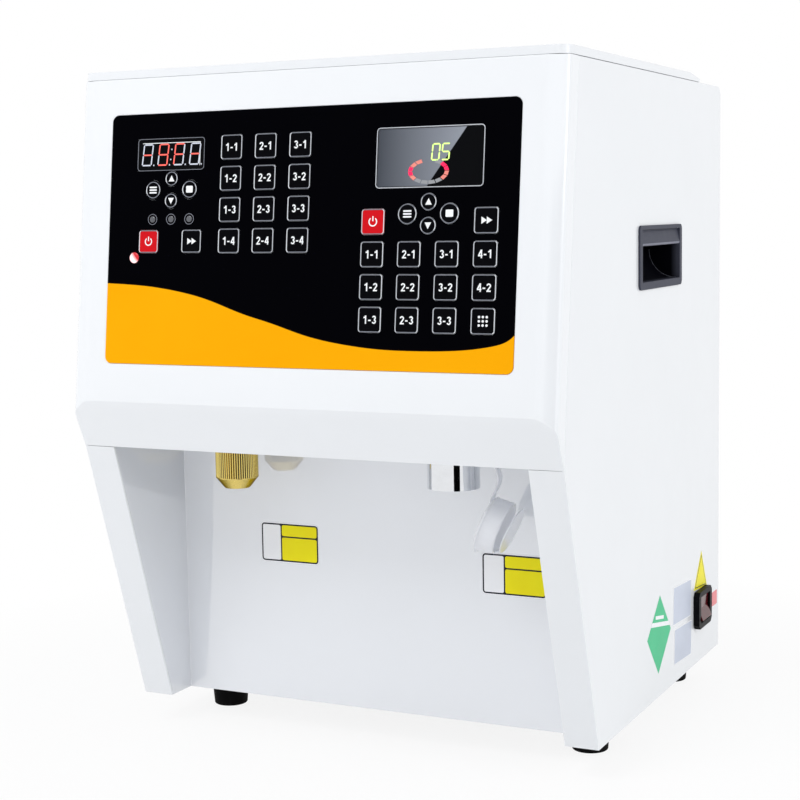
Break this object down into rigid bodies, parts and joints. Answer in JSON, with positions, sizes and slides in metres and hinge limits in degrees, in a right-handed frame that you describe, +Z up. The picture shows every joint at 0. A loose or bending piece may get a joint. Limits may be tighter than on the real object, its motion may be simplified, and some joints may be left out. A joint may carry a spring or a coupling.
{
  "type": "powder dispenser",
  "caption": "Countertop syrup and powder dispenser: white cabinet with leaning keypad front, cup bay, brass nozzle, chrome spout with hanging cap, hinged lid, auger feed and carry handles",
  "frame": {"origin": "centre of the bounding box at the level of the feet's undersides", "axes": "X to the machine's left seen from behind, which is the right of the keypad seen from the front; Y from front to back; Z up"},
  "size_m": [0.3883, 0.4003, 0.5072],
  "materials": {
    "white_paint": "gloss white powder coat",
    "white_shell": "high gloss white",
    "overlay_film": "gloss printed film",
    "display_glass": "dark display window",
    "key_black": "gloss film key",
    "key_red": "gloss film key",
    "stainless": "brushed",
    "motor_metal": "cast and turned",
    "chrome_spout": "polished",
    "brass_nozzle": "knurled, polished",
    "clear_silicone": "milky clear",
    "black_plastic": "satin black",
    "red_plastic": "dark red, gloss",
    "black_rubber": "matt",
    "screw_steel": "plated"
  },
  "bodies": {
    "housing": {"cabinet_body": "white_paint", "bay_liner": "white_paint", "rear_panel": "white_paint", "top_frame": "white_paint", "front_fascia": "white_shell", "keypad_overlay": "overlay_film", "display_board": "display_glass", "syrup_tank": "stainless", "powder_hopper": "stainless", "auger_motor": "motor_metal", "powder_spout": "chrome_spout", "syrup_nozzle": "brass_nozzle", "syrup_pump": "motor_metal", "syrup_hose": "clear_silicone", "side_handles": "black_plastic", "switch_bezel": "black_plastic", "power_inlet": "black_plastic", "rubber_feet": "black_rubber", "rear_screws": "screw_steel"},
    "lid": {"top_lid": "white_paint"},
    "auger": {"powder_auger": "stainless"},
    "agitator": {"hopper_agitator": "stainless"},
    "rocker": {"power_rocker": "red_plastic"},
    "cap": {"spout_cap": "clear_silicone"},
    "key_left_1_1": {"key_left_1_1": "key_black"},
    "key_left_1_2": {"key_left_1_2": "key_black"},
    "key_left_1_3": {"key_left_1_3": "key_black"},
    "key_left_1_4": {"key_left_1_4": "key_black"},
    "key_left_2_1": {"key_left_2_1": "key_black"},
    "key_left_2_2": {"key_left_2_2": "key_black"},
    "key_left_2_3": {"key_left_2_3": "key_black"},
    "key_left_2_4": {"key_left_2_4": "key_black"},
    "key_left_3_1": {"key_left_3_1": "key_black"},
    "key_left_3_2": {"key_left_3_2": "key_black"},
    "key_left_3_3": {"key_left_3_3": "key_black"},
    "key_left_3_4": {"key_left_3_4": "key_black"},
    "key_left_down": {"key_left_down": "key_black"},
    "key_left_power": {"key_left_power": "key_red"},
    "key_left_run": {"key_left_run": "key_black"},
    "key_left_save": {"key_left_save": "key_black"},
    "key_left_set": {"key_left_set": "key_black"},
    "key_left_up": {"key_left_up": "key_black"},
    "key_right_1_1": {"key_right_1_1": "key_black"},
    "key_right_1_2": {"key_right_1_2": "key_black"},
    "key_right_1_3": {"key_right_1_3": "key_black"},
    "key_right_2_1": {"key_right_2_1": "key_black"},
    "key_right_2_2": {"key_right_2_2": "key_black"},
    "key_right_2_3": {"key_right_2_3": "key_black"},
    "key_right_3_1": {"key_right_3_1": "key_black"},
    "key_right_3_2": {"key_right_3_2": "key_black"},
    "key_right_3_3": {"key_right_3_3": "key_black"},
    "key_right_4_1": {"key_right_4_1": "key_black"},
    "key_right_4_2": {"key_right_4_2": "key_black"},
    "key_right_clear": {"key_right_clear": "key_black"},
    "key_right_down": {"key_right_down": "key_black"},
    "key_right_power": {"key_right_power": "key_red"},
    "key_right_run": {"key_right_run": "key_black"},
    "key_right_save": {"key_right_save": "key_black"},
    "key_right_set": {"key_right_set": "key_black"},
    "key_right_up": {"key_right_up": "key_black"}
  },
  "joints": [
    {"name": "auger_turn", "type": "hinge", "parent": "housing", "child": "auger", "pos_m": [0.089, 0, 0.263], "axis": [0, 1, 0], "continuous": true},
    {"name": "agitator_turn", "type": "hinge", "parent": "housing", "child": "agitator", "pos_m": [0.089, 0.01515, 0.305], "axis": [1, 0, 0], "continuous": true},
    {"name": "cap_swing", "type": "hinge", "parent": "housing", "child": "cap", "pos_m": [0.1205, -0.13265, 0.2337], "axis": [0, 1, 0], "range_deg": [-20, 20]},
    {"name": "lid_hinge", "type": "hinge", "parent": "housing", "child": "lid", "pos_m": [0, 0.13901, 0.5038], "axis": [-1, 0, 0], "range_deg": [0, 100]},
    {"name": "power_rocker", "type": "hinge", "parent": "housing", "child": "rocker", "pos_m": [0.19, 0.14, 0.071], "axis": [0, 1, 0], "range_deg": [0, 18]},
    {"name": "press_left_1_1", "type": "slide", "parent": "housing", "child": "key_left_1_1", "axis": [0, 0.993, -0.1184], "range_m": [0, 0.0004], "stiffness_N_per_m": 300},
    {"name": "press_left_1_2", "type": "slide", "parent": "housing", "child": "key_left_1_2", "axis": [0, 0.993, -0.1184], "range_m": [0, 0.0004], "stiffness_N_per_m": 300},
    {"name": "press_left_1_3", "type": "slide", "parent": "housing", "child": "key_left_1_3", "axis": [0, 0.993, -0.1184], "range_m": [0, 0.0004], "stiffness_N_per_m": 300},
    {"name": "press_left_1_4", "type": "slide", "parent": "housing", "child": "key_left_1_4", "axis": [0, 0.993, -0.1184], "range_m": [0, 0.0004], "stiffness_N_per_m": 300},
    {"name": "press_left_2_1", "type": "slide", "parent": "housing", "child": "key_left_2_1", "axis": [0, 0.993, -0.1184], "range_m": [0, 0.0004], "stiffness_N_per_m": 300},
    {"name": "press_left_2_2", "type": "slide", "parent": "housing", "child": "key_left_2_2", "axis": [0, 0.993, -0.1184], "range_m": [0, 0.0004], "stiffness_N_per_m": 300},
    {"name": "press_left_2_3", "type": "slide", "parent": "housing", "child": "key_left_2_3", "axis": [0, 0.993, -0.1184], "range_m": [0, 0.0004], "stiffness_N_per_m": 300},
    {"name": "press_left_2_4", "type": "slide", "parent": "housing", "child": "key_left_2_4", "axis": [0, 0.993, -0.1184], "range_m": [0, 0.0004], "stiffness_N_per_m": 300},
    {"name": "press_left_3_1", "type": "slide", "parent": "housing", "child": "key_left_3_1", "axis": [0, 0.993, -0.1184], "range_m": [0, 0.0004], "stiffness_N_per_m": 300},
    {"name": "press_left_3_2", "type": "slide", "parent": "housing", "child": "key_left_3_2", "axis": [0, 0.993, -0.1184], "range_m": [0, 0.0004], "stiffness_N_per_m": 300},
    {"name": "press_left_3_3", "type": "slide", "parent": "housing", "child": "key_left_3_3", "axis": [0, 0.993, -0.1184], "range_m": [0, 0.0004], "stiffness_N_per_m": 300},
    {"name": "press_left_3_4", "type": "slide", "parent": "housing", "child": "key_left_3_4", "axis": [0, 0.993, -0.1184], "range_m": [0, 0.0004], "stiffness_N_per_m": 300},
    {"name": "press_left_down", "type": "slide", "parent": "housing", "child": "key_left_down", "axis": [0, 0.993, -0.1184], "range_m": [0, 0.0004], "stiffness_N_per_m": 300},
    {"name": "press_left_power", "type": "slide", "parent": "housing", "child": "key_left_power", "axis": [0, 0.993, -0.1184], "range_m": [0, 0.0004], "stiffness_N_per_m": 300},
    {"name": "press_left_run", "type": "slide", "parent": "housing", "child": "key_left_run", "axis": [0, 0.993, -0.1184], "range_m": [0, 0.0004], "stiffness_N_per_m": 300},
    {"name": "press_left_save", "type": "slide", "parent": "housing", "child": "key_left_save", "axis": [0, 0.993, -0.1184], "range_m": [0, 0.0004], "stiffness_N_per_m": 300},
    {"name": "press_left_set", "type": "slide", "parent": "housing", "child": "key_left_set", "axis": [0, 0.993, -0.1184], "range_m": [0, 0.0004], "stiffness_N_per_m": 300},
    {"name": "press_left_up", "type": "slide", "parent": "housing", "child": "key_left_up", "axis": [0, 0.993, -0.1184], "range_m": [0, 0.0004], "stiffness_N_per_m": 300},
    {"name": "press_right_1_1", "type": "slide", "parent": "housing", "child": "key_right_1_1", "axis": [0, 0.993, -0.1184], "range_m": [0, 0.0004], "stiffness_N_per_m": 300},
    {"name": "press_right_1_2", "type": "slide", "parent": "housing", "child": "key_right_1_2", "axis": [0, 0.993, -0.1184], "range_m": [0, 0.0004], "stiffness_N_per_m": 300},
    {"name": "press_right_1_3", "type": "slide", "parent": "housing", "child": "key_right_1_3", "axis": [0, 0.993, -0.1184], "range_m": [0, 0.0004], "stiffness_N_per_m": 300},
    {"name": "press_right_2_1", "type": "slide", "parent": "housing", "child": "key_right_2_1", "axis": [0, 0.993, -0.1184], "range_m": [0, 0.0004], "stiffness_N_per_m": 300},
    {"name": "press_right_2_2", "type": "slide", "parent": "housing", "child": "key_right_2_2", "axis": [0, 0.993, -0.1184], "range_m": [0, 0.0004], "stiffness_N_per_m": 300},
    {"name": "press_right_2_3", "type": "slide", "parent": "housing", "child": "key_right_2_3", "axis": [0, 0.993, -0.1184], "range_m": [0, 0.0004], "stiffness_N_per_m": 300},
    {"name": "press_right_3_1", "type": "slide", "parent": "housing", "child": "key_right_3_1", "axis": [0, 0.993, -0.1184], "range_m": [0, 0.0004], "stiffness_N_per_m": 300},
    {"name": "press_right_3_2", "type": "slide", "parent": "housing", "child": "key_right_3_2", "axis": [0, 0.993, -0.1184], "range_m": [0, 0.0004], "stiffness_N_per_m": 300},
    {"name": "press_right_3_3", "type": "slide", "parent": "housing", "child": "key_right_3_3", "axis": [0, 0.993, -0.1184], "range_m": [0, 0.0004], "stiffness_N_per_m": 300},
    {"name": "press_right_4_1", "type": "slide", "parent": "housing", "child": "key_right_4_1", "axis": [0, 0.993, -0.1184], "range_m": [0, 0.0004], "stiffness_N_per_m": 300},
    {"name": "press_right_4_2", "type": "slide", "parent": "housing", "child": "key_right_4_2", "axis": [0, 0.993, -0.1184], "range_m": [0, 0.0004], "stiffness_N_per_m": 300},
    {"name": "press_right_clear", "type": "slide", "parent": "housing", "child": "key_right_clear", "axis": [0, 0.993, -0.1184], "range_m": [0, 0.0004], "stiffness_N_per_m": 300},
    {"name": "press_right_down", "type": "slide", "parent": "housing", "child": "key_right_down", "axis": [0, 0.993, -0.1184], "range_m": [0, 0.0004], "stiffness_N_per_m": 300},
    {"name": "press_right_power", "type": "slide", "parent": "housing", "child": "key_right_power", "axis": [0, 0.993, -0.1184], "range_m": [0, 0.0004], "stiffness_N_per_m": 300},
    {"name": "press_right_run", "type": "slide", "parent": "housing", "child": "key_right_run", "axis": [0, 0.993, -0.1184], "range_m": [0, 0.0004], "stiffness_N_per_m": 300},
    {"name": "press_right_save", "type": "slide", "parent": "housing", "child": "key_right_save", "axis": [0, 0.993, -0.1184], "range_m": [0, 0.0004], "stiffness_N_per_m": 300},
    {"name": "press_right_set", "type": "slide", "parent": "housing", "child": "key_right_set", "axis": [0, 0.993, -0.1184], "range_m": [0, 0.0004], "stiffness_N_per_m": 300},
    {"name": "press_right_up", "type": "slide", "parent": "housing", "child": "key_right_up", "axis": [0, 0.993, -0.1184], "range_m": [0, 0.0004], "stiffness_N_per_m": 300}
  ],
  "couplings": [
    {"joint": "agitator_turn", "follows": "auger_turn", "ratio": -0.16667}
  ]
}
